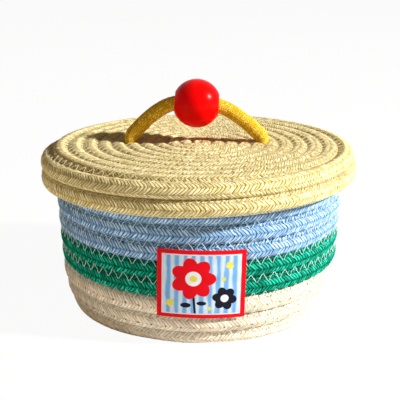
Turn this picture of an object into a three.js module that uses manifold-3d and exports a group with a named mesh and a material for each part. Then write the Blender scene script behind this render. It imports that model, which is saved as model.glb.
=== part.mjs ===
// Round lidded storage basket, coiled from thick cotton rope whose turns are sewn side by side.
// Millimetres, +Z up. The origin is on the floor at the middle of the base, and the label faces -Y.
// Each rope is one unbroken tube that runs clockwise, seen from above, from the centre outwards.
import * as THREE from 'three';
import Module from 'manifold-3d';

const wasm = await Module();
wasm.setup();

// Clearances
const sewnGap = 0.45; // daylight between neighbouring turns of one winding
const seatGap = 0.3; // between two pieces that rest on each other
const lidPlay = 0.4; // between the neck of the basket and the inside of the lid's skirt

// Rope of the body: half its thickness through the wall, and how many turns lie one above another
const bodyRopeHalf = 5.1;
const wallPitch = 10.83; // height of a turn in the wall
const neckPitch = 9.65; // the two turns that the lid covers are drawn tighter
const naturalTurns = 3; // the first of them is the outermost turn of the base
const greenTurns = 2;
const blueTurns = 4;
const neckTurns = 2;
const firstSeam = 7.7; // height of the seam above the base's outermost turn
const wallLean = 0.054; // how much the wall widens for each unit of height
const wallRadius = 83.9; // centre of the rope at the neck, where the wall is widest
const footDrawIn = 6.5; // the wall curves in towards the floor
const footHeight = 26;
const baseTurns = 6.875; // spiral turns of the base inside its outermost turn
const basePitch = 10.35;
const floorCut = 1.03; // the worn flat that the base stands on

// Lid: a flat spiral that turns down over the rim as a skirt
const lidRopeHalf = 4.3;
const lidStart = 4.4; // radius at which the spiral begins
const lidPitch = 7.84; // the lid's turns start this wide
const lidPitchGrowth = 0.18; // and get this much wider with each turn
const lidTurns = 11.625;
const lidCorner = 5.5; // radius of the bend from the plate into the skirt

// Handle: a thinner rope with a ball on it, threaded through the lid between two turns
const handleRopeHalf = 4.5;
const handleTurn = 5; // the handle passes outside this many turns of the spiral
const rightPress = 1.2; // each leg presses the turn inside it inwards
const leftPress = 2.6;
const handleRise = 23.9; // from the lid's upper side to the middle of the ball
const handleLean = 0.06; // slope of the handle at the ball, down to the right
const squeezedHalf = 2.5; // the rope is squeezed between the turns it passes
const squeezedWide = 6;
const tailHalf = 3; // its ends lie flattened under the lid
const tailWide = 5.6;
const tailLength = 23;
const ballRadius = 15;
const ballPlay = 1; // the ball turns loosely on its rope
const ballMouth = 1.4; // rounding where the rope enters

// Label: a thin fabric patch on the front of the wall
const labelWidth = 49.4;
const labelHeight = 40.7;
const labelFoot = 18.7; // height of its lower edge
const labelThick = 0.8;
const labelTurn = 0.9; // degrees to the right of the front
const labelTilt = 1.2; // degrees clockwise

const stepsPerTurn = 24;
const fullTurn = 2 * Math.PI;
const taperTurns = 0.125; // the last stretch of a winding thins out along the turn before it
const taperTo = 0.5;
const fullest = 1.17; // a rope is at most this many times as thick as it is wide
const crest = 0.42; // half the flat crest of a rope's section, in half widths
const corners = [[1, 0], [crest, 1], [-crest, 1], [-1, 0], [-crest, -1], [crest, -1]];
const smooth = (x) => THREE.MathUtils.smoothstep(x, 0, 1);

// The levels of the body's turns: level 0 is the outermost turn of the base, the last one the rim
const topLevel = naturalTurns + greenTurns + blueTurns - 1;
const neckLevel = topLevel - neckTurns;
const neckFoot = firstSeam + neckLevel * wallPitch;
const rimTop = neckFoot + neckTurns * neckPitch - sewnGap / 2;
const baseHeight = bodyRopeHalf - floorCut;

function levelHeight(level) {
  if (level <= 0) return baseHeight;
  if (level < 1) return THREE.MathUtils.lerp(baseHeight, firstSeam + wallPitch / 2, level);
  const below = Math.min(level, neckLevel);
  const halfStep = THREE.MathUtils.clamp(level - neckLevel, 0, 1) * (neckPitch - wallPitch) / 2;
  const above = Math.max(level - neckLevel, 0);
  if (above <= 1) return firstSeam + (below - 0.5 + above) * wallPitch + halfStep;
  return neckFoot + (above - 0.5) * neckPitch;
}

// Radius of the rope's centre in the wall at a height: it leans out and is drawn in at the foot
function wallRadiusAt(height) {
  const lean = wallLean * (neckFoot - wallPitch / 2 - height);
  const drawnIn = footDrawIn * Math.max(0, 1 - height / footHeight) ** 2;
  return wallRadius - Math.max(lean, 0) - drawnIn;
}

function bodyProfile(level) {
  const height = levelHeight(level);
  return new THREE.Vector2(wallRadiusAt(height) + Math.min(level, 0) * basePitch, height);
}

// The rope lies level round the front and climbs to its next level over the back third of a turn,
// which the base's steady spiral grows into
const climbShare = 1 / 3;
function bodyLevel(turn) {
  const whole = Math.floor(turn + 1e-9);
  const stepped = whole + smooth((turn - whole - 1 + climbShare) / climbShare);
  const mix = THREE.MathUtils.clamp((turn + baseTurns) / baseTurns, 0, 1);
  return THREE.MathUtils.lerp(turn, stepped, mix);
}

// Lid: the spiral's length measured from the middle, laid along a plate, a bend and a skirt
const lidUnder = rimTop + seatGap;
const lidTop = lidUnder + 2 * lidRopeHalf;
const plateHeight = lidUnder + lidRopeHalf;
const skirtRadius = wallRadius + bodyRopeHalf + lidPlay + lidRopeHalf;
const plateEdge = skirtRadius - lidCorner;
const lidReach = (turn) => lidStart + (lidPitch - lidPitchGrowth / 2 + lidPitchGrowth / 2 * turn) * turn;

function lidProfile(reach) {
  const along = reach - plateEdge;
  if (along <= 0) return new THREE.Vector2(reach, plateHeight);
  const angle = Math.min(along / lidCorner, Math.PI / 2);
  const drop = along - angle * lidCorner;
  return new THREE.Vector2(
    plateEdge + lidCorner * Math.sin(angle),
    plateHeight - lidCorner * (1 - Math.cos(angle)) - drop,
  );
}

// A winding: where its rope's centre is in the upright half plane at a turn, and its extent
const bodyWinding = {
  centre: (turn) => bodyProfile(bodyLevel(turn)),
  along: (turn) => bodyProfile(bodyLevel(turn) + 0.5).sub(bodyProfile(bodyLevel(turn) - 0.5)),
  azimuth: (turn) => Math.PI / 6 - turn * fullTurn,
  first: -baseTurns,
  last: topLevel + 1 - climbShare,
  half: bodyRopeHalf,
};
const lidWinding = {
  centre: (turn) => lidProfile(lidReach(turn)),
  along: (turn) => lidProfile(lidReach(turn + 0.5)).sub(lidProfile(lidReach(turn - 0.5))),
  azimuth: (turn) => -turn * fullTurn,
  first: 0,
  last: lidTurns,
  half: lidRopeHalf,
};

// The rope is as wide as the room between the turns on its two sides
function halfWidthAt(winding, turn) {
  const here = winding.centre(turn);
  const sides = [turn - 1, turn + 1].filter((next) => next >= winding.first && next <= winding.last);
  const room = sides.map((next) => here.distanceTo(winding.centre(next)));
  return (Math.min(...room) - sewnGap) / 2;
}

function sectionAt(winding, turn, outline) {
  const centre = winding.centre(turn);
  const along = winding.along(turn).normalize();
  const across = new THREE.Vector2(-along.y, along.x);
  const room = halfWidthAt(winding, turn);
  const left = smooth((winding.last - turn) / taperTurns);
  const halfWidth = room * THREE.MathUtils.lerp(taperTo, 1, left);
  const halfThick = Math.min(winding.half, room * fullest) * THREE.MathUtils.lerp(taperTo, 1, left);
  const azimuth = winding.azimuth(turn);
  centre.addScaledVector(along, halfWidth - room);
  return outline.map(([a, b]) => {
    const point = centre.clone().addScaledVector(along, a * halfWidth);
    point.addScaledVector(across, b * halfThick);
    return new THREE.Vector3(point.x * Math.cos(azimuth), point.x * Math.sin(azimuth), point.y);
  });
}

// A closed body skinned over rings of equally many points, with a flat face at each end
function skinned(rings) {
  const sides = rings[0].length;
  const position = rings.flat().flatMap((p) => p.toArray());
  const index = [];
  for (let ring = 0; ring + 1 < rings.length; ring += 1) {
    for (let side = 0; side < sides; side += 1) {
      const a = ring * sides + side;
      const b = ring * sides + (side + 1) % sides;
      index.push(a, b, b + sides, a, b + sides, a + sides);
    }
  }
  const end = (rings.length - 1) * sides;
  for (let side = 1; side + 1 < sides; side += 1) {
    index.push(0, side + 1, side);
    index.push(end, end + side, end + side + 1);
  }
  const geometry = new THREE.BufferGeometry();
  geometry.setAttribute('position', new THREE.Float32BufferAttribute(position, 3));
  geometry.setIndex(index);
  geometry.computeVertexNormals();
  return geometry;
}

function coiledRope(winding, from, to) {
  const turns = [from];
  const grid = (turn) => Math.round(turn * stepsPerTurn);
  for (let step = grid(from) + 1; step < grid(to); step += 1) turns.push(step / stepsPerTurn);
  turns.push(to);
  return skinned(turns.map((turn) => sectionAt(winding, turn, corners)));
}

// The least gap between neighbouring turns, measured on points of their outlines
function leastGap(winding) {
  const pointsPerSide = 4;
  const outline = corners.flatMap(([a, b], i) => {
    const [c, d] = corners[(i + 1) % corners.length];
    return Array.from({ length: pointsPerSide }, (_, k) => k / pointsPerSide)
      .map((share) => [a + (c - a) * share, b + (d - b) * share]);
  });
  const rings = [];
  const steps = Math.floor((winding.last - winding.first) * stepsPerTurn);
  for (let step = 0; step <= steps; step += 1) {
    rings.push(sectionAt(winding, winding.first + step / stepsPerTurn, outline));
  }
  let least = Infinity;
  rings.forEach((ring, i) => {
    for (let j = i + stepsPerTurn - 1; j <= Math.min(i + stepsPerTurn + 1, rings.length - 1); j += 1) {
      ring.forEach((p) => rings[j].forEach((q) => { least = Math.min(least, p.distanceTo(q)); }));
    }
  });
  return least;
}

function toSolid(geometry) {
  const vertProperties = new Float32Array(geometry.getAttribute('position').array);
  const triVerts = new Uint32Array(geometry.getIndex().array);
  return new wasm.Manifold(new wasm.Mesh({ numProp: 3, vertProperties, triVerts }));
}

function toGeometry(solid) {
  const mesh = solid.getMesh();
  const geometry = new THREE.BufferGeometry();
  geometry.setAttribute('position', new THREE.BufferAttribute(mesh.vertProperties, 3));
  geometry.setIndex(new THREE.BufferAttribute(mesh.triVerts, 1));
  geometry.computeVertexNormals();
  return geometry;
}

const block = (low, high) => {
  const size = new THREE.Vector3().subVectors(high, low);
  const box = new THREE.BoxGeometry(size.x, size.y, size.z);
  box.deleteAttribute('normal');
  box.deleteAttribute('uv');
  const middle = new THREE.Vector3().addVectors(low, high).multiplyScalar(0.5);
  return box.translate(...middle.toArray());
};

// Body ropes: the colours change halfway up the climb at the back
const naturalEnd = naturalTurns - climbShare / 2;
const greenEnd = naturalEnd + greenTurns;
const jointShare = (turn) => seatGap / 2 / (fullTurn * bodyWinding.centre(turn).x);

function naturalRope() {
  const rope = coiledRope(bodyWinding, bodyWinding.first, naturalEnd - jointShare(naturalEnd));
  const reach = wallRadius + 4 * bodyRopeHalf;
  const floor = flatPrism(Array.from({ length: 48 }, (_, i) => {
    const angle = i / 48 * fullTurn;
    return new THREE.Vector2(reach * Math.cos(angle), reach * Math.sin(angle));
  }), -4 * bodyRopeHalf, 0);
  return toGeometry(toSolid(rope).subtract(toSolid(floor)));
}

// A straight-sided prism over an outline given counter-clockwise
function flatPrism(outline, low, high) {
  const at = (height) => outline.map((p) => new THREE.Vector3(p.x, p.y, height));
  return skinned([at(low), at(high)]);
}

// Lid rope: one spiral, opened by a slot at each side where the handle passes between two turns
const slotRadius = (turn) => (lidReach(turn - 0.5) + lidReach(turn + 0.5)) / 2;
const handleRight = slotRadius(handleTurn - 0.5) - rightPress;
const handleLeft = leftPress - slotRadius(handleTurn);

function ellipse(x, halfX, halfY, sides) {
  return Array.from({ length: sides }, (_, i) => {
    const angle = i / sides * fullTurn;
    return new THREE.Vector2(x + halfX * Math.cos(angle), halfY * Math.sin(angle));
  });
}

function lidRope() {
  let solid = toSolid(coiledRope(lidWinding, 0, lidTurns));
  for (const x of [handleLeft, handleRight]) {
    const outline = ellipse(x, squeezedHalf + seatGap, squeezedWide + seatGap, 16);
    const slot = flatPrism(outline, lidUnder - lidRopeHalf, lidTop + lidRopeHalf);
    solid = solid.subtract(toSolid(slot));
  }
  return toGeometry(solid);
}

// Handle rope: its route from the end of a tail to the mouth of the ball, outwards from its middle
// and up from the lid, with the rope's half thickness in and across the arch's plane. The other
// half mirrors it, and the whole arch leans a little to the right.
const handleMiddle = (handleLeft + handleRight) / 2;
const handleSpan = (handleRight - handleLeft) / 2;
const ballHeight = lidTop + handleRise;
const tailDepth = lidTop - lidUnder + seatGap + tailHalf;
const handleRoute = [
  [handleSpan + tailLength, -tailDepth, tailHalf * 0.9, tailWide * 0.9],
  [handleSpan + tailLength - 3, -tailDepth, tailHalf, tailWide],
  [handleSpan + 9, -tailDepth, tailHalf, tailWide],
  [handleSpan + 4.2, -tailDepth, tailHalf * 0.9, tailWide],
  [handleSpan + 0.9, -tailDepth + 1.4, squeezedHalf, squeezedWide],
  [handleSpan, -tailDepth + 5, squeezedHalf, squeezedWide],
  [handleSpan, 0, squeezedHalf, squeezedWide],
  [handleSpan - 0.2, 1.6, 3.4, 5.6],
  [handleSpan - 1.5, 3.9, 4.3, 4.8],
  [handleSpan - 4.4, 6.9, handleRopeHalf, handleRopeHalf],
  [handleSpan - 9.9, 12.3, handleRopeHalf, handleRopeHalf],
  [handleSpan - 16.9, 17.8, handleRopeHalf, handleRopeHalf],
  [handleSpan - 22.9, 21.3, handleRopeHalf, handleRopeHalf],
  [ballRadius - 1, handleRise - 1, handleRopeHalf, handleRopeHalf],
  [ballRadius - 6, handleRise, handleRopeHalf, handleRopeHalf],
];

function handleRope() {
  const centres = handleRoute.map(([x, z]) => new THREE.Vector3(x, 0, z));
  const route = new THREE.CatmullRomCurve3(centres, false, 'centripetal');
  const pieces = handleRoute.length - 1;
  const stepsPerPiece = 2;
  const leg = [];
  for (let step = 0; step <= (pieces - 1) * stepsPerPiece; step += 1) {
    const at = step / stepsPerPiece;
    const low = Math.min(Math.floor(at), pieces - 1);
    const share = at - low;
    const centre = route.getPoint(at / pieces);
    const along = route.getTangent(at / pieces);
    const inPlane = new THREE.Vector3(along.z, 0, -along.x);
    const halfIn = THREE.MathUtils.lerp(handleRoute[low][2], handleRoute[low + 1][2], share);
    const halfAcross = THREE.MathUtils.lerp(handleRoute[low][3], handleRoute[low + 1][3], share);
    leg.push({ centre, inPlane, halfIn, halfAcross });
  }
  const sides = 12;
  const ringOf = ({ centre, inPlane, halfIn, halfAcross }, mirror) => (
    Array.from({ length: sides }, (_, i) => {
      const angle = i / sides * fullTurn;
      const point = centre.clone().addScaledVector(inPlane, halfIn * Math.cos(angle));
      const y = halfAcross * Math.sin(angle);
      const lean = handleLean * mirror * point.x * Math.max(point.z, 0) / handleRise;
      return new THREE.Vector3(handleMiddle + mirror * point.x, y, lidTop + point.z - lean);
    })
  );
  const right = leg.map((station) => ringOf(station, 1));
  const left = leg.map((station) => ringOf(station, -1)).reverse();
  return skinned([...right, ...left]);
}

// Ball: turned about the rope's line, with a rounded mouth at each end of its bore
function ball() {
  const bore = handleRopeHalf + ballPlay;
  const mouthCentre = bore + ballMouth;
  const mouthAt = Math.sqrt((ballRadius - ballMouth) ** 2 - mouthCentre ** 2);
  const meet = Math.atan2(mouthAt, mouthCentre);
  const profile = [];
  const mouthSteps = 4;
  const roundSteps = 18;
  for (let i = 0; i <= roundSteps; i += 1) {
    const angle = THREE.MathUtils.lerp(-meet, meet, i / roundSteps);
    profile.push(new THREE.Vector2(ballRadius * Math.cos(angle), ballRadius * Math.sin(angle)));
  }
  for (let i = 1; i <= mouthSteps; i += 1) {
    const angle = THREE.MathUtils.lerp(meet, Math.PI, i / mouthSteps);
    profile.push(new THREE.Vector2(
      mouthCentre + ballMouth * Math.cos(angle),
      mouthAt + ballMouth * Math.sin(angle),
    ));
  }
  for (let i = 0; i < mouthSteps; i += 1) {
    const angle = THREE.MathUtils.lerp(-Math.PI, -meet, i / mouthSteps);
    profile.push(new THREE.Vector2(
      mouthCentre + ballMouth * Math.cos(angle),
      -mouthAt + ballMouth * Math.sin(angle),
    ));
  }
  profile.push(profile[0].clone());
  return new THREE.LatheGeometry(profile, 32);
}

// Label: a flat patch bent round the wall, on the crests of the turns behind it
function label() {
  const columns = 12;
  const rows = 8;
  const middle = -Math.PI / 2 + THREE.MathUtils.degToRad(labelTurn);
  const tilt = THREE.MathUtils.degToRad(-labelTilt);
  const patch = new THREE.BoxGeometry(1, 1, 1, columns, 1, rows);
  const points = patch.getAttribute('position');
  for (let i = 0; i < points.count; i += 1) {
    const flat = new THREE.Vector2(labelWidth * points.getX(i), labelHeight * points.getZ(i));
    flat.rotateAround(new THREE.Vector2(), tilt);
    const height = labelFoot + labelHeight / 2 + flat.y;
    const azimuth = middle + flat.x / (wallRadiusAt(height) + bodyRopeHalf);
    const out = seatGap + labelThick * (0.5 - points.getY(i));
    const radius = wallRadiusAt(height) + bodyRopeHalf + out;
    points.setXYZ(i, radius * Math.cos(azimuth), radius * Math.sin(azimuth), height);
  }
  return patch;
}

const cotton = (color) => new THREE.MeshStandardMaterial({ color, roughness: 0.9, metalness: 0 });
const natural = cotton('#ede0c4');
const green = cotton('#1c9a68');
const blue = cotton('#8fb6e0');
const straw = cotton('#ecdc97');
const golden = cotton('#e2a912');
const fabric = cotton('#b9d4ea');
const lacquer = new THREE.MeshStandardMaterial({ color: '#cf120d', roughness: 0.12, metalness: 0 });

function piece(name, geometry, material) {
  const mesh = new THREE.Mesh(geometry, material);
  mesh.name = name;
  return mesh;
}

const basket = new THREE.Group();
basket.add(piece('natural_rope', naturalRope(), natural));
basket.add(piece(
  'green_rope',
  coiledRope(bodyWinding, naturalEnd + jointShare(naturalEnd), greenEnd - jointShare(greenEnd)),
  green,
));
basket.add(piece(
  'blue_rope',
  coiledRope(bodyWinding, greenEnd + jointShare(greenEnd), bodyWinding.last),
  blue,
));
basket.add(piece('label', label(), fabric));

const lid = new THREE.Group();
lid.add(piece('lid_rope', lidRope(), straw));
lid.add(piece('handle_rope', handleRope(), golden));
const handleBall = piece('handle_ball', ball(), lacquer);
handleBall.rotation.set(0, Math.atan(handleLean), Math.PI / 2);
handleBall.position.set(handleMiddle, 0, ballHeight);
lid.add(handleBall);

console.log(`least gap in the body's winding ${leastGap(bodyWinding).toFixed(2)} mm`);
console.log(`least gap in the lid's winding ${leastGap(lidWinding).toFixed(2)} mm`);

const model = new THREE.Group();
model.add(basket, lid);
export default model;
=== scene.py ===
# Round storage basket coiled from plaited cotton rope, with a coiled lid whose rope handle carries
# a red ball. Metres, +Z up. The label faces -Y and the handle runs along X.
import math

import bmesh
import bpy
import numpy as np
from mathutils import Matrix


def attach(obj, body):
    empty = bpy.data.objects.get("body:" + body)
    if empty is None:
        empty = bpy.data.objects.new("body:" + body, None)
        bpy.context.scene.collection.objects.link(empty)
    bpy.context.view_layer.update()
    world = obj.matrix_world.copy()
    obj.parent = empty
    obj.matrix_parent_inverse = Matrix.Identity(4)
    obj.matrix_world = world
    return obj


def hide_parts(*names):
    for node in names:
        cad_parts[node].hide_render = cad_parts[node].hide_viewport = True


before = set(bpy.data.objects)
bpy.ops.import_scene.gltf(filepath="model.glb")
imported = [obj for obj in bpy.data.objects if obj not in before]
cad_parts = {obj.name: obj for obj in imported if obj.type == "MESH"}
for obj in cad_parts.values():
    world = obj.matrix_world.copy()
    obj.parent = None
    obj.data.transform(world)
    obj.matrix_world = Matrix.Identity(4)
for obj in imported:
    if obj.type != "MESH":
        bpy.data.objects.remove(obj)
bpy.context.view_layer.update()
mm = 0.001
full_turn = 2 * math.pi

# Camera: a long lens in front of the label, a little above the lid and looking slightly down, as
# in the photograph. The frame is square, 400 by 400.
camera_distance = 570 * mm
camera_elevation = math.radians(16.26)
aim = (0.6 * mm, 0, 62.2 * mm)
film_width = 36
focal_pixels = 894
frame_pixels = 400
bpy.ops.object.camera_add(
    location=(
        aim[0],
        -camera_distance * math.cos(camera_elevation),
        aim[2] + camera_distance * math.sin(camera_elevation),
    ),
    rotation=(math.pi / 2 - camera_elevation, 0, 0),
)
camera = bpy.context.object
camera.data.sensor_width = film_width
camera.data.lens = film_width * focal_pixels / frame_pixels
camera.data.clip_start = 10 * mm
camera.data.clip_end = 20
bpy.context.scene.camera = camera

# Body ropes: three lengths of plaited cotton rope, 10 mm thick, wound as one spiral from the middle
# of the base up to the rim: natural for the base and the foot, then green, then light blue. Each
# turn is sewn to the one before it.
rope_half = 5.1 * mm
rope_fullness = 2.4  # 2 makes an ellipse, and more a squarer section
wall_pitch = 10.83 * mm
neck_pitch = 9.65 * mm
natural_turns = 3
green_turns = 2
blue_turns = 4
neck_turns = 2
first_seam = 7.7 * mm
wall_lean = 0.054
wall_radius = 83.9 * mm
foot_draw_in = 6.5 * mm
foot_height = 26 * mm
base_turns = 6.875
base_core = 0.9  # of a turn: the rope's start, cut to a point and curled into the middle
base_pitch = 10.35 * mm
floor_cut = 1.03 * mm
climb_share = 1 / 3
level_azimuth = math.pi / 6  # where each level of the wall starts
colour_gap = 0.3 * mm
top_level = natural_turns + green_turns + blue_turns - 1
neck_level = top_level - neck_turns
neck_foot = first_seam + neck_level * wall_pitch
base_height = rope_half - floor_cut
body_first = -base_turns - base_core
body_last = top_level + 1 - climb_share
natural_end = natural_turns - climb_share / 2
green_end = natural_end + green_turns


def smooth(share):
    share = np.clip(share, 0, 1)
    return share * share * (3 - 2 * share)


def unit(vectors):
    return vectors / np.linalg.norm(vectors, axis=-1, keepdims=True)


def wall_radius_at(height):
    """Radius of the rope's centre in the wall: it leans out and is drawn in at the foot."""
    lean = np.maximum(wall_lean * (neck_foot - wall_pitch / 2 - height), 0)
    return wall_radius - lean - foot_draw_in * np.maximum(1 - height / foot_height, 0) ** 2


def hand_drift(turn):
    """How far a hand-wound turn strays from its place, within about a third of a millimetre."""
    waves = np.sin(14.3 * turn) + 0.8 * np.sin(23.9 * turn + 1.7) + 0.5 * np.sin(41.3 * turn + 4)
    return 0.13 * mm * waves


def body_line(turn):
    """The rope's centre in the upright half plane, as radius and height. It lies level round the
    front and climbs to its next level over the back third of a turn."""
    just_short = 1e-9
    whole = np.floor(turn + just_short)
    stepped = whole + smooth((turn - whole - 1 + climb_share) / climb_share)
    in_wall = np.clip((turn + base_turns) / base_turns, 0, 1)
    level = turn + (stepped - turn) * in_wall
    height = np.interp(
        level,
        [0, 1, neck_level, neck_level + 1, top_level + 1],
        [
            base_height,
            first_seam + wall_pitch / 2,
            neck_foot - wall_pitch / 2,
            neck_foot + neck_pitch / 2,
            neck_foot + 2.5 * neck_pitch,
        ],
    )
    radius = wall_radius_at(height) + np.minimum(level, 0) * base_pitch
    return np.stack([radius + hand_drift(turn) * in_wall, height], -1)


def body_azimuth(turn):
    return level_azimuth - turn * full_turn


def in_space(point, azimuth):
    """Points or directions of the upright half plane, turned to their azimuth."""
    return np.stack([point[..., 0] * np.cos(azimuth), point[..., 0] * np.sin(azimuth), point[..., 1]], -1)


steps_per_turn = 400
fullest = 1.17  # a rope squeezed by its neighbours gets at most this much thicker than wide
snug = 0.12 * mm  # how far each turn presses into its neighbour
last_taper_turns = 0.125
last_taper_to = 0.5
axis_gap = 0.05 * mm
point_half = 1.2 * mm
point_slope = 1.6


def coil_route(line, azimuth, extent, turns, half, outward, parting=None):
    """A coiled rope's centre and section at closely spaced turns. side points to the next turn and
    out away from the coil. The rope is as wide as the room that its neighbours leave it, it tapers
    at its last end, and its start is cut off at the coil's axis, where it gets thinner too."""
    first, last = extent
    turn = np.linspace(turns[0], turns[1], int((turns[1] - turns[0]) * steps_per_turn) + 2)
    here = line(turn)
    to_before = np.where(turn - 1 >= first, np.linalg.norm(here - line(turn - 1), axis=-1), np.inf)
    to_next = np.where(turn + 1 <= last, np.linalg.norm(line(turn + 1) - here, axis=-1), np.inf)
    nearest = np.minimum(to_before, to_next)
    before = np.where(np.isinf(to_before), nearest, to_before) / 2
    after = np.where(np.isinf(to_next), nearest, to_next) / 2
    left = last_taper_to + (1 - last_taper_to) * smooth((last - turn) / last_taper_turns)
    side = unit(line(turn + 0.5) - line(turn - 0.5))
    out = outward * np.stack([-side[..., 1], side[..., 0]], -1)
    here = here - side * (before * (1 - left))[..., None]
    thick = np.minimum(half, nearest / 2 * fullest) * left
    past_axis = np.maximum(axis_gap - (here[:, 0] - before * left), 0) / 2
    here = here + side * past_axis[:, None]
    after = after * left - past_axis + snug
    before = before * left - past_axis + np.where(past_axis > 0, 0, snug)
    thick = np.minimum(thick, point_slope * after + point_half)
    route = {
        "centre": in_space(here, azimuth(turn)),
        "side": in_space(side, azimuth(turn)),
        "out": in_space(out, azimuth(turn)),
        "after": after[:, None],
        "before": before[:, None],
        "thick": thick[:, None],
    }
    if parting:
        route["parted_after"] = parting(turn)[:, None]
        route["parted_before"] = parting(turn - 1)[:, None]
    return route


def grid_faces(rows, around):
    """Four-sided faces between rings of points, as point numbers and as ring and column numbers."""
    ring, column = np.meshgrid(np.arange(rows - 1), np.arange(around), indexing="ij")
    rings = np.stack([ring, ring + 1, ring + 1, ring], -1).reshape(-1, 4)
    columns = np.stack([column, column, column + 1, column + 1], -1).reshape(-1, 4)
    return rings * around + columns % around, rings, columns


def new_piece(name, points, faces, maps):
    """A smooth closed mesh whose faces point out, with its UV maps, given as one pair for each
    corner of each face."""
    mesh = bpy.data.meshes.new(name)
    mesh.from_pydata(points.tolist(), [], faces)
    for map_name, corners in maps.items():
        layer = mesh.uv_layers.new(name=map_name, do_init=False)
        layer.uv.foreach_set("vector", np.asarray(corners, np.float32).ravel())
    mesh.polygons.foreach_set("use_smooth", np.ones(len(faces), bool))
    mesh.update()
    shell = bmesh.new()
    shell.from_mesh(mesh)
    volume = shell.calc_volume(signed=True)
    shell.free()
    if volume < 0:
        mesh.flip_normals()
    piece = bpy.data.objects.new(name, mesh)
    bpy.context.scene.collection.objects.link(piece)
    return piece


chance = np.random.default_rng(11)
rows_per_strand = 3
straight_strands = 6  # at each end, over which the Vs flatten out
slack_spread = 0.13  # of a strand's length
crest_height = 0.45  # this and the next three are shares of the relief's depth
crest_spread = 0.36
column_groove = 0.35
yarn_spread = 0.1
end_round = 2.4 * mm
end_share = 0.45
end_bulge = 0.8 * mm


def squared(wave, fullness):
    """A sine or cosine that makes a section of the given fullness."""
    return np.sign(wave) * np.abs(wave) ** (2 / fullness)


def plait_points(route, run, strands, strand, columns, lean, depth, fullness):
    """Rows of points round a route. They follow the strands, which meet in a row of Vs on every
    other column, so each strand is a ridge and each gap between two a valley. No two strands are
    quite alike."""
    around = 2 * columns
    rows = strands * rows_per_strand + 1
    row = np.arange(rows)[:, None]
    column = np.arange(around)[None, :]
    of_strand = row[:, 0] // rows_per_strand
    vee = np.abs((column / 2) % 2 - 1) - 0.5
    settled = smooth(np.minimum(row, rows - 1 - row) / (straight_strands * rows_per_strand))
    slack = chance.normal(0, slack_spread, (strands + 1, around))[of_strand] * settled
    place = row / rows_per_strand * run[-1] / strands + strand * (slack - lean * vee * settled)
    at = {key: np.stack([np.interp(place, run, v) for v in value.T], -1) for key, value in route.items()}
    across = squared(np.cos(full_turn * column / around), fullness)
    outwards = squared(np.sin(full_turn * column / around), fullness)
    valley = (row % rows_per_strand == 0) * np.ones_like(column)
    ridge = crest_height * depth + chance.normal(0, crest_spread * depth, (strands + 1, around))[of_strand]
    relief = np.where(valley, -depth, ridge) - column_groove * depth * (column % 2 == 0) * (1 - valley)
    relief = relief + chance.normal(0, yarn_spread * depth, (rows, around))
    from_end = np.minimum(place, run[-1] - place) / end_round
    rounded = end_share + (1 - end_share) * np.sqrt(1 - (1 - np.clip(from_end, 0, 1)) ** 2)
    wide = np.where(across > 0, at["after"][..., 0], at["before"][..., 0]) * rounded + relief
    thick = at["thick"][..., 0] * rounded + relief
    if "parted_after" in at:
        parted = np.where(across > 0, at["parted_after"][..., 0], at["parted_before"][..., 0])
        across = across * (1 - parted * np.clip(outwards, 0, 1))
    points = at["centre"] + at["side"] * (wide * across)[..., None]
    return points + at["out"] * (thick * outwards)[..., None]


end_margin = 0.01  # the rope lies in strips on the bake map, and this is a share of a strip's length
side_margin = 0.06  # of a strip's width
cap_place = 0.004  # of a strip's length, as is the next
cap_width = 0.003


def plaited_rope(name, route, strand, columns, lean, depth, fullness, lowest=None):
    """Skins a plait over a route and closes its ends. The map plait counts strands along the rope
    and columns round it."""
    steps = np.linalg.norm(np.diff(route["centre"], axis=0), axis=1)
    run = np.concatenate([[0], np.cumsum(steps)])
    strands = round(run[-1] / strand)
    points = plait_points(route, run, strands, strand, columns, lean, depth, fullness)
    if lowest is not None:
        points[..., 2] = np.maximum(points[..., 2], lowest)
    rows, around, _ = points.shape
    faces, rings, columns_at = grid_faces(rows, around)
    strips = math.ceil(math.sqrt(run[-1] / (full_turn * rope_half)))
    rows_per_strip = math.ceil((rows - 1) / strips)
    strip_at = rings[:, :1] // rows_per_strip
    along = end_margin + (1 - 2 * end_margin) * (rings - strip_at * rows_per_strip) / rows_per_strip

    def across_strip(strip, column_at):
        return (strip + side_margin + (1 - 2 * side_margin) * column_at / around) / strips

    all_points = [points.reshape(-1, 3)]
    all_faces = faces.tolist()
    plait = [np.stack([rings / rows_per_strand, columns_at / 2], -1).reshape(-1, 2)]
    bake = [np.stack([along, across_strip(strip_at, columns_at)], -1).reshape(-1, 2)]
    column = np.arange(around)
    for ring, inner, strip, beside, turned in (
        (0, 1, 0, cap_place, 1),
        (rows - 1, rows - 2, strips - 1, 1 - cap_place, -1),
    ):
        middle = points[ring].mean(0)
        tip = np.full(around, rows * around + len(all_points) - 1)
        all_points.append(middle[None] + unit(middle - points[inner].mean(0)) * end_bulge)
        cap = np.stack([ring * around + column, ring * around + (column + 1) % around, tip], -1)
        all_faces += cap[:, ::turned].tolist()
        crest = np.stack([np.full(around, ring / rows_per_strand + 0.5), column / 2 + 0.25], -1)
        plait.append(np.repeat(crest, 3, axis=0))
        rise = across_strip(strip, column[:, None] + [0, 1, 0.5])
        cap_map = np.stack([np.tile([beside, beside, beside + cap_width], (around, 1)), rise], -1)
        bake.append(cap_map[:, ::turned].reshape(-1, 2))
    maps = {"plait": np.concatenate(plait), "OFBake": np.concatenate(bake)}
    return new_piece(name, np.concatenate(all_points), all_faces, maps)


body = {"line": body_line, "azimuth": body_azimuth, "extent": (body_first, body_last)}
strand_length = 2.1 * mm
rope_plait = {"strand": strand_length, "columns": 8, "lean": 1.7, "depth": 0.13 * mm}


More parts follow.
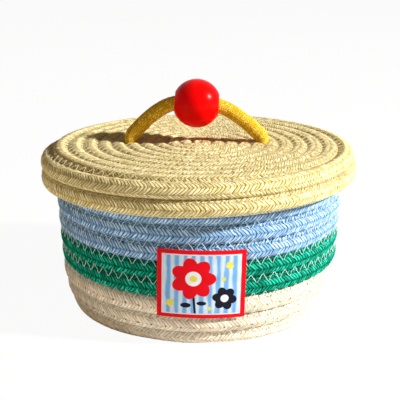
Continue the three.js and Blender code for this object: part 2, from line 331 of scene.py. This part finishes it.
def body_rope(name, start, end):
    gap = colour_gap / 2 / (full_turn * wall_radius)
    turns = (start + gap * (start > body_first), end - gap * (end < body_last))
    route = coil_route(turns=turns, half=rope_half, outward=-1, **body)
    return plaited_rope(name, route, fullness=rope_fullness, lowest=0, **rope_plait)


natural_coils = body_rope("natural_coils", body_first, natural_end)
green_coils = body_rope("green_coils", natural_end, green_end)
blue_coils = body_rope("blue_coils", green_end, body_last)


class Wire:
    """A socket in a material's node tree. Sums and products of wires add Math nodes."""

    def __init__(self, tree, socket=None):
        self.tree = tree
        self.socket = socket

    def node(self, kind, settings, inputs, output=0):
        """Adds a node: its settings first, then the values or links of its sockets."""
        made = self.tree.nodes.new("ShaderNode" + kind)
        for name, value in settings.items():
            setattr(made, name, value)
        for key, value in inputs.items():
            if isinstance(value, Wire):
                self.tree.links.new(value.socket, made.inputs[key])
            else:
                made.inputs[key].default_value = value
        return Wire(self.tree, made.outputs[output] if made.outputs else None)

    def math(self, operation, *others):
        return self.node("Math", {"operation": operation}, dict(enumerate((self, *others))))

    def __add__(self, other):
        return self.math("ADD", other)

    __radd__ = __add__

    def __mul__(self, other):
        return self.math("MULTIPLY", other)

    __rmul__ = __mul__

    def __sub__(self, other):
        return self.math("SUBTRACT", other)

    def __rsub__(self, other):
        return (self * -1).math("ADD", other)

    def __pow__(self, other):
        return self.math("POWER", other)

    def __abs__(self):
        return self.math("ABSOLUTE")

    def swing(self):
        """1 at each whole number and 0 half way between two."""
        return abs(self.math("FRACT") - 0.5) * 2

    def rise(self, low, high):
        """0 below low and 1 above high, with a smooth rise between them."""
        limits = {"Value": self, "From Min": low, "From Max": high}
        return self.node("MapRange", {"interpolation_type": "SMOOTHSTEP"}, limits)

    def parts(self):
        split = self.node("SeparateXYZ", {}, {0: self})
        return [Wire(self.tree, output) for output in split.socket.node.outputs]

    def mix(self, first, second):
        """Mixes two colours, with this wire as the factor."""
        first = (*first, 1) if isinstance(first, tuple) else first
        second = (*second, 1) if isinstance(second, tuple) else second
        return self.node("Mix", {"data_type": "RGBA"}, {0: self, 6: first, 7: second}, output=2)

    def shaded(self, amount):
        """This colour, times a number that varies over the surface."""
        grey = self.node("CombineColor", {}, {0: amount, 1: amount, 2: amount})
        times = {"data_type": "RGBA", "blend_type": "MULTIPLY"}
        return self.node("Mix", times, {0: 1, 6: self, 7: grey}, output=2)


def new_surface(name):
    material = bpy.data.materials.new(name)
    material.use_nodes = True
    material.node_tree.nodes.clear()
    return material, Wire(material.node_tree)


def finish_surface(start, inputs):
    start.node("OutputMaterial", {}, {"Surface": start.node("BsdfPrincipled", {}, inputs)})


hole_spacing = 7.9 * mm
hole_column = 2


def plaited_cotton(name, colours, fuzz=0.05, holes=0.0, grain=0.75):
    """Dyed cotton yarn in a plait, with painted shade in the gaps between the strands and a painted
    highlight on their crests, each strand a little different, with fine twisted fibres, a dusty
    sheen and small needle holes painted as dark spots of shade."""
    colour, gap_shade, pale = colours
    material, start = new_surface(name)
    along, column, _ = start.node("UVMap", {"uv_map": "plait"}, {}).parts()
    place = start.node("TexCoord", {}, {}, "Object")
    which = start.node("CombineXYZ", {}, {0: along.math("FLOOR"), 1: column.math("FLOOR")})
    own = start.node("TexWhiteNoise", {"noise_dimensions": "2D"}, {"Vector": which})
    wander = start.node("TexNoise", {}, {"Vector": place, "Scale": 420, "Detail": 2})
    wandered = along + 0.5 * (wander - 0.5)
    strand = (1 - wandered.swing() ** 2) * (1 - 0.6 * column.swing() ** 4)
    yarn = 1 - (wandered * 2).swing() ** 2
    lay = start.node("CombineXYZ", {}, {0: wandered * 8 + column * 2, 1: column * 1.6})
    fine = {"Vector": lay, "Scale": 1.0, "Detail": 3, "Roughness": 0.6}
    fibre = start.node("TexNoise", {"noise_dimensions": "2D"}, fine)
    dye = start.node("TexNoise", {}, {"Vector": place, "Scale": 55, "Detail": 2})
    # Painted shade: the gaps between the strands and yarns take the darker gap colour
    lit = (0.65 * strand + 0.25 * yarn + 0.9 * (fibre - 0.5)).rise(0.0, 0.8)
    # Painted highlight: the strands' crests are mixed towards the paler crest colour
    crest = (strand * (0.3 + 0.7 * fibre + 0.3 * own + 0.2 * yarn)).rise(0.6, 1.15)
    base = (crest * 0.8).mix(lit.mix(gap_shade, colour), pale)
    shade = (0.83 + 0.3 * own) * (0.975 + grain * (fibre - 0.5)) * (0.90 + 0.2 * dye)
    # Needle holes: small dark spots of painted shade, in a row along one column of the plait
    if holes:
        from_hole = ((along * (strand_length / hole_spacing)).math("FRACT") - 0.5) * (hole_spacing / mm)
        from_column = (column - hole_column) * 3.4
        hole = 1 - (from_hole ** 2 + from_column ** 2).math("SQRT").rise(0.25, 0.65)
        shade = shade * (1 - holes * hole)
    height = strand * 0.5 + yarn * 0.2 + fibre * 0.45 + own * 0.15
    finish_surface(
        start,
        {
            "Base Color": base.shaded(shade),
            "Roughness": 0.78 + 0.2 * fibre,
            "Normal": start.node("Bump", {}, {"Strength": 1.0, "Distance": 0.45 * mm, "Height": height}),
            "Specular IOR Level": 0.06,
            "Sheen Weight": fuzz,
            "Sheen Roughness": 0.45,
        },
    )
    return material


# Colours: the rope's own, the painted shade in the gaps, the painted highlight on the crests
natural_colours = ((0.98, 0.865, 0.67), (0.64, 0.44, 0.255), (1.0, 0.95, 0.84))
green_colours = ((0.002, 0.24, 0.138), (0.0, 0.012, 0.006), (0.03, 0.78, 0.54))
blue_colours = ((0.27, 0.50, 0.79), (0.008, 0.04, 0.14), (0.76, 0.88, 1.0))
natural_cotton = plaited_cotton("natural_cotton", natural_colours, holes=0.8)
green_cotton = plaited_cotton("green_cotton", green_colours, fuzz=0.0, holes=0.85)
blue_cotton = plaited_cotton("blue_cotton", blue_colours, grain=1.1)
for coils, node, slot, cotton in (
    (natural_coils, "natural_rope", "natural_cotton_rope", natural_cotton),
    (green_coils, "green_rope", "green_cotton_rope", green_cotton),
    (blue_coils, "blue_rope", "blue_cotton_rope", blue_cotton),
):
    coils.data.materials.append(cotton)
    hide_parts(node)
    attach(coils, "basket")

# Lid rope: a straw-coloured plait, a little thinner, wound flat from the middle outwards. Its last
# turns bend down over the rim as a skirt, and the seam at the left of its edge has opened.
lid_rope_half = 4.3 * mm
lid_fullness = 2.5
lid_start = 4.4 * mm
lid_core = 0.97  # of a turn: the rope's start, curled into the middle
lid_pitch = 7.84 * mm
lid_pitch_growth = 0.18 * mm
lid_turns = 11.625
lid_drift = 0.6  # of the body's
lid_drift_turns = 10  # past these the lid's edge is true
lid_play = 0.4 * mm
lid_corner = 5.5 * mm
seat_gap = 0.3 * mm
sewn_gap = 0.45 * mm
parted_most = 0.27  # of the rope's half width
parted_turn = 9.41
parted_spread = 0.055  # of a turn
rim_top = neck_foot + neck_turns * neck_pitch - sewn_gap / 2
lid_under = rim_top + seat_gap
lid_top = lid_under + 2 * lid_rope_half
plate_height = lid_under + lid_rope_half
skirt_radius = wall_radius + rope_half + lid_play + lid_rope_half
plate_edge = skirt_radius - lid_corner


def lid_reach(turn):
    return lid_start + (lid_pitch - lid_pitch_growth / 2 + lid_pitch_growth / 2 * turn) * turn


def lid_line(turn):
    """The rope's centre as radius and height: along the plate, round the bend and down the skirt."""
    reach = lid_reach(turn)
    beyond = np.maximum(reach - plate_edge, 0)
    angle = np.minimum(beyond / lid_corner, math.pi / 2)
    drop = beyond - angle * lid_corner
    radius = np.minimum(reach, plate_edge) + lid_corner * np.sin(angle)
    height = plate_height - lid_corner * (1 - np.cos(angle)) - drop
    return np.stack([radius, height + lid_drift * hand_drift(turn) * (turn < lid_drift_turns)], -1)


def lid_azimuth(turn):
    return -turn * full_turn


def lid_parting(turn):
    """How much narrower the rope is on top on both sides of the opened seam."""
    return parted_most * np.exp(-(((turn - parted_turn) / parted_spread) ** 2))


lid = {"line": lid_line, "azimuth": lid_azimuth, "extent": (-lid_core, lid_turns), "parting": lid_parting}
lid_route = coil_route(turns=(-lid_core, lid_turns), half=lid_rope_half, outward=1, **lid)
lid_coils = plaited_rope("lid_coils", lid_route, fullness=lid_fullness, **rope_plait)

# Each foot of the handle presses the turns beside it apart. The half widths of the gap are those at
# four heights over the lid.
handle_turn = 5
right_press = 1.2 * mm
left_press = 2.6 * mm
press_reach = 6.4 * mm
press_levels = [-9 * mm, -5 * mm, -2 * mm, 1 * mm]
press_halves = [2.7 * mm, 2.9 * mm, 3.5 * mm, 4.0 * mm]
handle_right = (lid_reach(handle_turn - 1) + lid_reach(handle_turn)) / 2 - right_press
handle_left = left_press - (lid_reach(handle_turn - 0.5) + lid_reach(handle_turn + 0.5)) / 2
places = np.array([vertex.co for vertex in lid_coils.data.vertices])
foot_half = np.interp(places[:, 2] - lid_top, press_levels, press_halves)
hollow = foot_half * np.sqrt(np.maximum(1 - (places[:, 1] / press_reach) ** 2, 0))
for foot in (handle_left, handle_right):
    offset = places[:, 0] - foot
    pressed = np.abs(offset) < hollow
    places[pressed, 0] = foot + np.where(offset < 0, -hollow, hollow)[pressed]
lid_coils.data.vertices.foreach_set("co", places.ravel())
lid_coils.data.update()
# Colours: the rope's own, the painted shade in the gaps, the painted highlight on the crests
straw_colours = ((0.91, 0.76, 0.33), (0.31, 0.17, 0.015), (1.0, 0.96, 0.76))
lid_coils.data.materials.append(plaited_cotton("straw_cotton", straw_colours, grain=1.2))
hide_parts("lid_rope")
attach(lid_coils, "lid")

# Sewing thread: a zigzag over every seam, outside and inside, white on the body and pale yellow on
# the lid. It bridges the groove and goes down into the rope at each corner.
stitch_length = 3.5 * mm
stitch_reach = 2.8 * mm
stitch_rest = 0.85  # of the reach, where the thread lies on the rope
stitch_depth = 1.1 * mm
thread_half = 0.165 * mm
thread_stand = 0.08 * mm
thread_sides = 5
unsewn_radius = 3 * mm
cell_shape = 4  # each thread's cell of the bake map is this much longer than wide
cell_margin = 0.08  # this and the next three are shares of a cell, in which each cap is an oval
cell_cap = (0.03, 0.5)
cell_cap_half = (0.02, 0.3)
cell_cap_apart = (0.94, 0)


def thread_cells(count, inside, angle):
    """The bake map of many short threads: each one's wall and two caps in a cell of its own."""
    across = math.ceil(math.sqrt(count / cell_shape))
    down = math.ceil(count / across)
    number = np.arange(count)[:, None, None]
    corner = np.stack([number % across, number // across], -1)
    walls = corner[:, 0] + cell_margin + (1 - 2 * cell_margin) * inside.reshape(1, -1, 2)
    cap = cell_cap + np.stack([np.cos(angle), np.sin(angle)], -1) * cell_cap_half
    caps = corner + np.stack([cap, cap + cell_cap_apart])
    return np.concatenate([walls.reshape(-1, 2), caps.reshape(-1, 2)]) / [across, down]


def thread_tubes(name, lines, normals):
    """One mesh of many short threads: lines holds each one's points, normals the way it faces."""
    count, points_each, _ = lines.shape
    ahead = unit(np.gradient(lines, axis=1))
    beside = unit(np.cross(ahead, normals))
    above = np.cross(beside, ahead)
    angle = np.arange(thread_sides) * full_turn / thread_sides
    ring = beside[:, :, None] * np.cos(angle)[:, None] + above[:, :, None] * np.sin(angle)[:, None]
    points = lines[:, :, None] + ring * thread_half
    walls, rings, columns = grid_faces(points_each, thread_sides)
    first = np.arange(thread_sides)
    caps = np.stack([first, (points_each - 1) * thread_sides + first[::-1]])
    start = np.arange(count)[:, None, None] * points_each * thread_sides
    faces = (start + walls).reshape(-1, 4).tolist() + (start + caps).reshape(-1, thread_sides).tolist()
    wraps = np.tile(np.stack([rings, columns / thread_sides], -1), (count, 1, 1)).reshape(-1, 2)
    inside = np.stack([rings / (points_each - 1), columns / thread_sides], -1)
    maps = {
        "twist": np.concatenate([wraps, np.zeros((count * caps.size, 2))]),
        "OFBake": thread_cells(count, inside, angle),
    }
    return new_piece(name, points.reshape(-1, 3), faces, maps)


def seam_thread(name, line, azimuth, extent, half, outward, bridge, fullness, parting=None):
    """Zigzag stitches over the seam between each turn and the next, on one face of the coil. They
    lie taut over a parted seam."""
    first, last = extent
    turn = np.linspace(first, last - 1, int((last - first) * steps_per_turn))
    turn = turn[line(turn)[:, 0] > unsewn_radius]
    seam = in_space((line(turn) + line(turn + 1)) / 2, azimuth(turn))
    run = np.concatenate([[0], np.cumsum(np.linalg.norm(np.diff(seam, axis=0), axis=1))])
    leg = np.arange(int(run[-1] / stitch_length))[:, None]
    share = np.array([0, 0.1, 0.5, 0.9, 1])
    at = np.interp((leg + share) * stitch_length, run, turn)
    low = line(at)
    high = line(at + 1)
    room = np.linalg.norm(high - low, axis=-1)
    side = (high - low) / room[..., None]
    out = outward * np.stack([-side[..., 1], side[..., 0]], -1)
    swing = (2 * share - 1) * np.where(leg % 2, -1, 1)
    on_rope = 1 - stitch_reach * stitch_rest / (room / 2)
    thick = np.minimum(half, room / 2 * fullest)
    surface = thick * (1 - on_rope ** fullness) ** (1 / fullness)
    lift = surface + np.array([-stitch_depth, thread_stand, 0, thread_stand, -stitch_depth])
    taut = parting(at[:, 2]) / parted_most if parting else 0
    lift[:, 2] += bridge * (1 - taut)
    spot = (low + high) / 2 + side * (swing * stitch_reach)[..., None] + out * lift[..., None]
    spot[..., 1] = np.maximum(spot[..., 1], thread_half)
    return thread_tubes(name, in_space(spot, azimuth(at)), in_space(out, azimuth(at)))


def sewing_thread(name, colour, shade):
    """Smooth spun thread, twisted, with a faint gloss and painted shade in the grooves between its plies.
    """
    material, start = new_surface(name)
    along, wrap, _ = start.node("UVMap", {"uv_map": "twist"}, {}).parts()
    ply = (along * 2.5 + wrap * 2).swing()
    # Painted shade: the grooves between the plies take the darker colour
    tone = ply.rise(0, 0.8).mix(colour, shade)
    bump = start.node("Bump", {}, {"Strength": 0.6, "Distance": 0.08 * mm, "Height": 1 - ply})
    finish_surface(start, {"Base Color": tone, "Roughness": 0.55, "Normal": bump, "Sheen Weight": 0.2})
    return material


# Each thread's own colour, then its painted shade in the grooves between the plies
white_thread = sewing_thread("white_thread", (0.85, 1.0, 0.97), (0.68, 0.86, 0.83))
straw_thread = sewing_thread("straw_thread", (0.90, 0.81, 0.50), (0.64, 0.52, 0.26))
body_seam = {**body, "half": rope_half, "fullness": rope_fullness, "bridge": -0.35 * mm}
lid_seam = {**lid, "half": lid_rope_half, "fullness": lid_fullness, "bridge": -0.8 * mm}
for name, seam, outward, thread, body_name, slot in (
    ("body_thread_outside", body_seam, -1, white_thread, "basket", "natural_cotton_rope"),
    ("body_thread_inside", body_seam, 1, white_thread, "basket", "natural_cotton_rope"),
    ("lid_thread_outside", lid_seam, 1, straw_thread, "lid", "straw_cotton_rope"),
    ("lid_thread_inside", lid_seam, -1, straw_thread, "lid", "straw_cotton_rope"),
):
    stitches = seam_thread(name, outward=outward, **seam)
    stitches.data.materials.append(thread)
    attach(stitches, body_name)

# Handle rope: a thinner golden plait. Each end goes down between two turns of the lid and lies
# flattened under it, and the ball sits on the arch between them.
handle_half = 4.5 * mm
handle_rise = 23.9 * mm
handle_lean = 0.06
handle_steps = 12  # between two points of the route
handle_braid = {"strand": 1.35 * mm, "columns": 20, "lean": 0.8, "depth": 0.11 * mm, "fullness": 2.05}
ball_radius = 15 * mm
tail_length = 23 * mm
tail_half = 3 * mm
tail_wide = 5.6 * mm
handle_middle = (handle_left + handle_right) / 2
handle_span = (handle_right - handle_left) / 2
tail_depth = lid_top - lid_under + seat_gap + tail_half

# One leg, from the tail up: distance from the arch's middle, height over the lid, half thickness and
# half width
handle_leg = np.array(
    [
        [handle_span + tail_length, -tail_depth, tail_half * 0.9, tail_wide * 0.9],
        [handle_span + tail_length - 3 * mm, -tail_depth, tail_half, tail_wide],
        [handle_span + 9 * mm, -tail_depth, tail_half, tail_wide],
        [handle_span + 4.2 * mm, -tail_depth, tail_half * 0.9, tail_wide],
        [handle_span + 0.9 * mm, 1.4 * mm - tail_depth, 2.5 * mm, 6 * mm],
        [handle_span, 5 * mm - tail_depth, 2.5 * mm, 6 * mm],
        [handle_span, -2 * mm, 3.2 * mm, 5.7 * mm],
        [handle_span - 0.3 * mm, 1.4 * mm, 4.1 * mm, 5 * mm],
        [handle_span - 1.5 * mm, 3.9 * mm, handle_half, 4.6 * mm],
        [handle_span - 4.4 * mm, 6.9 * mm, handle_half, handle_half],
        [handle_span - 9.9 * mm, 12.3 * mm, handle_half, handle_half],
        [handle_span - 16.9 * mm, 17.8 * mm, handle_half, handle_half],
        [handle_span - 22.9 * mm, 21.3 * mm, handle_half, handle_half],
        [ball_radius - 1 * mm, handle_rise - 1 * mm, handle_half, handle_half],
        [ball_radius - 6 * mm, handle_rise, handle_half, handle_half],
    ]
)
mirrored = [-1, 1, 1, 1]


def smooth_line(points, steps):
    """A smooth line through the points, with so many steps between each two."""
    knot = np.concatenate([[0], np.cumsum(np.linalg.norm(np.diff(points[:, :2], axis=0), axis=1) ** 0.5)])
    slope = np.gradient(points, knot, axis=0)
    fine = np.interp(np.arange((len(knot) - 1) * steps + 1) / steps, np.arange(len(knot)), knot)
    span = np.clip(np.searchsorted(knot, fine, side="right") - 1, 0, len(knot) - 2)
    width = (knot[span + 1] - knot[span])[:, None]
    share = (fine[:, None] - knot[span][:, None]) / width
    return (
        points[span] * (1 + 2 * share) * (1 - share) ** 2
        + points[span + 1] * share * share * (3 - 2 * share)
        + slope[span] * width * share * (1 - share) ** 2
        - slope[span + 1] * width * share * share * (1 - share)
    )


arch = smooth_line(np.concatenate([handle_leg, (handle_leg * mirrored)[::-1]]), handle_steps)
arch[:, 1] -= handle_lean * arch[:, 0] * np.maximum(arch[:, 1], 0) / handle_rise
arch_ahead = unit(np.gradient(arch[:, :2], axis=0))
no_depth = np.zeros(len(arch))
handle_route = {
    "centre": np.stack([handle_middle + arch[:, 0], no_depth, lid_top + arch[:, 1]], -1),
    "side": np.stack([arch_ahead[:, 1], no_depth, -arch_ahead[:, 0]], -1),
    "out": np.tile([0.0, -1.0, 0.0], (len(arch), 1)),
    "after": arch[:, 2:3],
    "before": arch[:, 2:3],
    "thick": arch[:, 3:4],
}
handle_plait = plaited_rope("handle_plait", handle_route, **handle_braid)
# Colours: the rope's own, the painted shade in the gaps, the painted highlight on the crests
golden_colours = ((1.0, 0.585, 0.0), (0.50, 0.19, 0.0), (1.0, 0.92, 0.34))
handle_plait.data.materials.append(plaited_cotton("golden_cotton", golden_colours, fuzz=0.0, grain=1.0))
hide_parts("handle_rope")
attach(handle_plait, "lid")

# Ball: turned from beech, bored through for the handle's rope, with the bore's mouths widened, and
# finished in red gloss lacquer. It is threaded on the rope and turns on it.
ball_bore = handle_half + 0.5 * mm
bore_half_length = 12 * mm
mouth_radius = 6.7 * mm
mouth_place = math.sqrt(ball_radius ** 2 - mouth_radius ** 2)
narrower = ball_bore / mouth_radius
ball_centre = (handle_middle, 0, lid_top + handle_rise)
bpy.ops.object.select_all(action="DESELECT")
bpy.ops.mesh.primitive_uv_sphere_add(
    segments=96, ring_count=64, radius=ball_radius, location=ball_centre, rotation=(0, math.pi / 2, 0)
)
ball = bpy.context.object
ball.name = "lacquered_ball"
bpy.ops.object.transform_apply(location=False, rotation=True, scale=True)
bpy.ops.object.mode_set(mode="EDIT")
bpy.ops.mesh.select_mode(type="FACE")
bpy.ops.mesh.select_all(action="DESELECT")
bpy.ops.object.mode_set(mode="OBJECT")
for face in ball.data.polygons:
    face.select = math.hypot(face.center.y, face.center.z) < mouth_radius
bpy.ops.object.mode_set(mode="EDIT")
bpy.ops.mesh.delete(type="FACE")
bpy.ops.mesh.select_mode(type="EDGE")
bpy.ops.mesh.select_non_manifold()
bpy.ops.mesh.extrude_region_move()
to_bore = (bore_half_length / mouth_place, narrower, narrower)
bpy.ops.transform.resize(value=to_bore, center_override=ball_centre)
bpy.ops.mesh.bridge_edge_loops()
bpy.ops.object.mode_set(mode="OBJECT")
ball.rotation_euler = (0, math.atan(handle_lean), 0)
bpy.ops.object.transform_apply(location=True, rotation=True, scale=False)
bpy.ops.object.shade_smooth_by_angle(angle=math.radians(40))
material, start = new_surface("red_gloss_lacquer")
place = start.node("TexCoord", {}, {}, "Object")
cloud = start.node("TexNoise", {}, {"Vector": place, "Scale": 70, "Detail": 2})
peel = start.node("TexNoise", {}, {"Vector": place, "Scale": 900, "Detail": 1})
finish_surface(
    start,
    {
        "Base Color": cloud.mix((0.82, 0.0008, 0.001), (0.88, 0.001, 0.001)),
        "Roughness": 0.42 + 0.08 * cloud,
        "Normal": start.node("Bump", {}, {"Strength": 0.3, "Distance": 0.01 * mm, "Height": peel}),
        "Specular IOR Level": 0.0,
        "Coat Weight": 0.6,
        "Coat Roughness": 0.24,
        "Coat IOR": 1.2,
    },
)
ball.data.materials.append(material)
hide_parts("handle_ball")
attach(ball, "ball")

# Label: a printed cotton patch with a red border, laid over the front of the wall and sewn round
# its edge. Inside the edge it sags a little into the seams.
label_width = 49.4 * mm
label_height = 40.7 * mm
label_foot = 18.7 * mm
label_thick = 0.5 * mm
label_turn = math.radians(0.9)
label_tilt = math.radians(1.2)
label_sag = 0.35 * mm
label_edge = 0.25  # of the way to its middle, over which the sag begins
label_columns = 98
label_rows = 82
bpy.ops.object.select_all(action="DESELECT")
bpy.ops.mesh.primitive_grid_add(
    x_subdivisions=label_columns, y_subdivisions=label_rows, size=1, calc_uvs=True
)
label = bpy.context.object
label.name = "label_patch"
flat = np.array([vertex.co for vertex in label.data.vertices])
flat_x = flat[:, 0] * label_width
flat_y = flat[:, 1] * label_height
height = label_foot + label_height / 2 + flat_y * math.cos(label_tilt) - flat_x * math.sin(label_tilt)
wide = flat_x * math.cos(label_tilt) + flat_y * math.sin(label_tilt)
azimuth = -math.pi / 2 + label_turn + wide / (wall_radius_at(height) + rope_half)
groove = 0.5 + 0.5 * np.cos(full_turn * (height - first_seam) / wall_pitch)
from_edge = 1 - np.max(np.abs(flat[:, :2]) * 2, axis=1)
sag = label_sag * groove * smooth(from_edge / label_edge)
radius = wall_radius_at(height) + rope_half + seat_gap + label_thick - sag
wrapped = np.stack([radius * np.cos(azimuth), radius * np.sin(azimuth), height], -1)
label.data.vertices.foreach_set("co", wrapped.ravel())
label.data.update()
thickness = label.modifiers.new("cloth", "SOLIDIFY")
thickness.thickness = label_thick
thickness.offset = -1
bpy.ops.object.modifier_apply(modifier=thickness.name)
bpy.ops.object.shade_smooth_by_angle(angle=math.radians(50))

# Its print: two flowers and some small ones on painted stripes, in millimetres from its middle
half_wide = label_width / mm / 2
half_high = label_height / mm / 2
border_wide = 2.7
border_high = 2.3
stripe_pitch = 4.6
print_blur = 0.12
ink = (0.008, 0.009, 0.02)
red = (0.80, 0.002, 0.010)
yellow = (0.83, 0.72, 0.10)
chalk = (0.86, 0.88, 0.9)
pale_edge = (0.78, 0.80, 0.86)
pale_blue = (0.66, 0.78, 0.88)
sky_blue = (0.17, 0.42, 0.78)
material, start = new_surface("printed_label")
print_x, print_y, _ = start.node("UVMap", {"uv_map": "UVMap"}, {}).parts()
right = (print_x - 0.5) * (2 * half_wide)
up = (print_y - 0.5) * (2 * half_high)


def disc(x, y, radius, squash=1.0):
    """1 inside a round motif of the print and 0 outside it."""
    far = ((right - x) ** 2 + ((up - y) * squash) ** 2).math("SQRT")
    return 1 - far.rise(radius - print_blur, radius + print_blur)


def flower(x, y, petals, radius, turn=0.0):
    """1 inside a flower with so many round petals."""
    angle = (up - y).math("ARCTAN2", right - x)
    far = ((right - x) ** 2 + (up - y) ** 2).math("SQRT")
    rim = radius * (0.74 + 0.26 * abs((angle * (petals / 2) + turn).math("COSINE")))
    return 1 - (far - rim).rise(-print_blur, print_blur)


brush = start.node("CombineXYZ", {}, {0: right * 0.42, 1: up * 0.09})
bristles = {"Vector": brush, "Scale": 1, "Detail": 4, "Roughness": 0.62}
stroke = start.node("TexNoise", {"noise_dimensions": "2D"}, bristles)
stripe = (right * (full_turn / stripe_pitch) + stroke * 3).math("SINE") * 0.5 + 0.5
printed = (stripe * 0.75 + stroke * 0.5).rise(0.25, 0.95).mix(pale_blue, sky_blue)
stem = (1 - abs(right + 4.2 + (up + 8) * 0.10).rise(0.5, 0.8)) * (1 - up.rise(-1.2, -1.0))
leaf = disc(-8.6, -12.4, 2.9, 2.0).math("MAXIMUM", disc(0.2, -11.2, 2.7, 2.2))
printed = stem.math("MAXIMUM", leaf).mix(printed, ink)
printed = flower(-4.5, 3.6, 7, 12.6).mix(printed, red)
printed = disc(-4.5, 3.6, 4.4).mix(printed, chalk)
printed = disc(-4.5, 3.6, 2.0).mix(printed, yellow)
printed = flower(13.0, -8.2, 6, 7.0, 0.5).mix(printed, ink)
printed = disc(13.0, -8.2, 2.3).mix(printed, chalk)
for x, y, size in ((15.5, 11.5, 2.3), (12.2, 3.4, 1.4), (-17.2, -11.5, 2.4), (4.6, -14.2, 1.3)):
    printed = flower(x, y, 5, size, 0.9).mix(printed, yellow)
over_side = abs(right) - (half_wide - border_wide)
border = over_side.math("MAXIMUM", abs(up) - (half_high - border_high))
red_cloth = border.rise(-0.1, 0.1)
printed = border.rise(-0.75, -0.55).mix(printed, pale_edge)
printed = red_cloth.mix(printed, red)
# The cloth's weave: its threads stand up a little, with a faint painted shade between them
weave = (right * 2.1).swing() * (up * 2.1).swing()
spread = start.node("CombineXYZ", {}, {0: right, 1: up})
soaked = start.node("TexNoise", {"noise_dimensions": "2D"}, {"Vector": spread, "Scale": 1.4, "Detail": 3})
relief = weave + 1.5 * red_cloth
finish_surface(
    start,
    {
        "Base Color": printed.shaded(0.90 + 0.08 * weave + 0.10 * soaked),
        "Roughness": 0.62 + 0.15 * weave,
        "Normal": start.node("Bump", {}, {"Strength": 0.5, "Distance": 0.07 * mm, "Height": relief}),
        "Specular IOR Level": 0.1,
    },
)
label.data.materials.append(material)
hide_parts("label")
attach(label, "basket")

# Floor and light: a pale floor that shows almost white and keeps a faint shadow, one soft lamp from
# the right, a low card at the left that throws light up under the turns, and faint even light all
# round.
floor_size = 6
floor_whiteness = 0.94
even_light = (1.0, 0.78, 0.55)
even_strength = 0.15
lamp_place = 2.4 * unit(np.array([0.80, -0.22, 0.52]))
lamp_size = 0.16
lamp_power = 107
card_place = (-0.24, -0.17, 0.012)
card_target = (-0.10, -0.07, 0.06)
card_size = 0.22
card_power = 0.17
card_light = (1.0, 0.80, 0.58)
white = {"Color": (1, 1, 1, 1), "Strength": 1.0}
bpy.ops.object.select_all(action="DESELECT")
bpy.ops.mesh.primitive_plane_add(size=floor_size, location=(0, 0, 0))
floor = bpy.context.object
floor.name = "floor"
material, start = new_surface("pale_floor")
seen = start.node("LightPath", {}, {}, "Is Camera Ray")
matt = start.node("BsdfDiffuse", {}, {"Color": (0.92, 0.92, 0.91, 1)})
glow = start.node("Emission", {}, white)
whitened = start.node("MixShader", {}, {0: seen * floor_whiteness, 1: matt, 2: glow})
start.node("OutputMaterial", {}, {"Surface": whitened})
floor.data.materials.append(material)

world = bpy.data.worlds.new("studio")
world.use_nodes = True
world.node_tree.nodes.clear()
start = Wire(world.node_tree)
seen = [start.node("LightPath", {}, {}, f"Is {kind} Ray") for kind in ("Camera", "Glossy", "Transmission")]
seen = seen[0].math("MAXIMUM", seen[1]).math("MAXIMUM", seen[2])
even = start.node("Background", {}, {"Color": (*even_light, 1), "Strength": even_strength})
studio = start.node("MixShader", {}, {0: seen, 1: even, 2: start.node("Background", {}, white)})
start.node("OutputWorld", {}, {"Surface": studio})
bpy.context.scene.world = world


def add_lamp(place, target, size, power, colour):
    """A round soft lamp at place that points at target."""
    away = unit(np.subtract(place, target))
    tilt = math.acos(away[2])
    heading = math.atan2(away[1], away[0]) + math.pi / 2
    bpy.ops.object.light_add(type="AREA", location=place, rotation=(tilt, 0, heading))
    lamp = bpy.context.object
    lamp.data.shape = "DISK"
    lamp.data.size = size
    lamp.data.energy = power
    lamp.data.color = colour
    lamp.visible_camera = False


add_lamp(lamp_place.tolist(), (0, 0, 0), lamp_size, lamp_power, (1, 1, 1))
add_lamp(card_place, card_target, card_size, card_power, card_light)

bpy.context.scene.view_settings.view_transform = "Standard"
